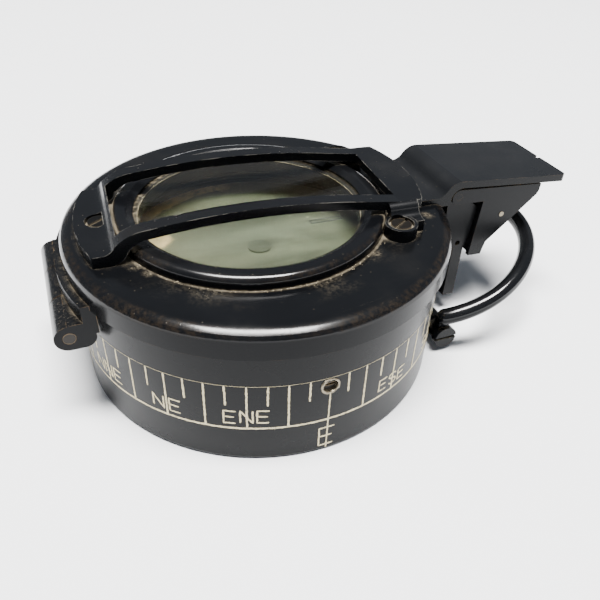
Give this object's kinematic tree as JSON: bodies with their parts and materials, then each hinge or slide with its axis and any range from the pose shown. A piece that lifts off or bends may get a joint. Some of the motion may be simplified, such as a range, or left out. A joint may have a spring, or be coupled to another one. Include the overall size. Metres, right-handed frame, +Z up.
{
  "type": "prismatic sighting compass",
  "caption": "Round pocket sighting compass with a hinged windowed lid, a wire guard, a folding prism on a focusing slide and a thumb ring.",
  "frame": {"origin": "centre of the flat face that the case rests on", "axes": "+Z up through the window, +X along the line of sight from the lid hinge to the prism, -Y towards the east mark of the engraved scale"},
  "size_m": [0.0894, 0.0618, 0.0309],
  "materials": {
    "black_enamel": "satin-gloss black stoving enamel over brass, worn to metal on the edges",
    "case_enamel": "satin-gloss black enamel with an engraved scale filled in cream paint",
    "dark_steel": "blackened steel, worn bright in the slots",
    "bare_brass": "machined brass",
    "clear_glass": "polished clear glass",
    "prism_glass": "polished optical glass",
    "pearl": "pale green-grey mother of pearl",
    "seal": "black rubber seal",
    "magnet": "hardened magnet steel"
  },
  "bodies": {
    "case": {"case_body": "case_enamel", "base_cover": "black_enamel", "expansion_diaphragm": "bare_brass", "compass_bowl": "bare_brass", "pivot_post": "bare_brass", "capsule_gasket": "seal", "capsule_glass": "clear_glass", "glass_clamp_ring": "bare_brass", "filler_plug": "dark_steel", "case_hinge_leaf": "black_enamel", "hinge_pin": "dark_steel", "slide_track": "black_enamel", "track_screws": "dark_steel", "ring_lugs": "black_enamel", "ring_screws": "dark_steel"},
    "bearing": {"bearing_ring": "bare_brass", "bearing_glass": "clear_glass", "glass_retainer": "bare_brass", "snap_ring": "dark_steel"},
    "card": {"compass_card": "pearl", "card_magnets": "magnet", "jewel_cup": "bare_brass"},
    "lid": {"lid_shell": "black_enamel", "lid_tongue": "black_enamel", "tongue_rivets": "black_enamel", "lid_hinge_leaf": "black_enamel", "window_bezel": "black_enamel", "window_gasket": "seal", "window_glass": "clear_glass", "window_guard": "black_enamel", "guard_plate_screw": "dark_steel", "guard_boss_screws": "dark_steel"},
    "focusing_slide": {"slide_plate": "black_enamel", "prism_bracket": "black_enamel", "bracket_rivets": "dark_steel"},
    "prism_box": {"prism_housing": "black_enamel", "prism_glass": "prism_glass", "prism_lens": "prism_glass", "prism_pivot_pin": "dark_steel", "housing_pins": "dark_steel"},
    "thumb_loop": {"thumb_ring": "black_enamel"}
  },
  "joints": [
    {"name": "lid_hinge", "type": "hinge", "parent": "case", "child": "lid", "pos_m": [-0.03205, 0, 0.0164], "axis": [0, -1, 0], "range_deg": [0, 180]},
    {"name": "focus_slide", "type": "slide", "parent": "case", "child": "focusing_slide", "axis": [0, 0, 1], "range_m": [0, 0.003]},
    {"name": "prism_flip", "type": "hinge", "parent": "focusing_slide", "child": "prism_box", "pos_m": [0.033, 0, 0.0253], "axis": [0, -1, 0], "range_deg": [0, 180]},
    {"name": "thumb_ring_swing", "type": "hinge", "parent": "case", "child": "thumb_loop", "pos_m": [0.0289, 0, 0.0029], "axis": [0, -1, 0], "range_deg": [-105, 8]},
    {"name": "bearing_ring_turn", "type": "hinge", "parent": "case", "child": "bearing", "pos_m": [0, 0, 0.0206], "axis": [0, 0, 1], "continuous": true},
    {"name": "card_turn", "type": "hinge", "parent": "case", "child": "card", "pos_m": [0, 0, 0.0161], "axis": [0, 0, 1], "continuous": true}
  ],
  "couplings": [
    {"joint": "prism_flip", "follows": "lid_hinge", "ratio": 1},
    {"joint": "focus_slide", "follows": "lid_hinge", "m_per_rad": 0.0009549}
  ]
}
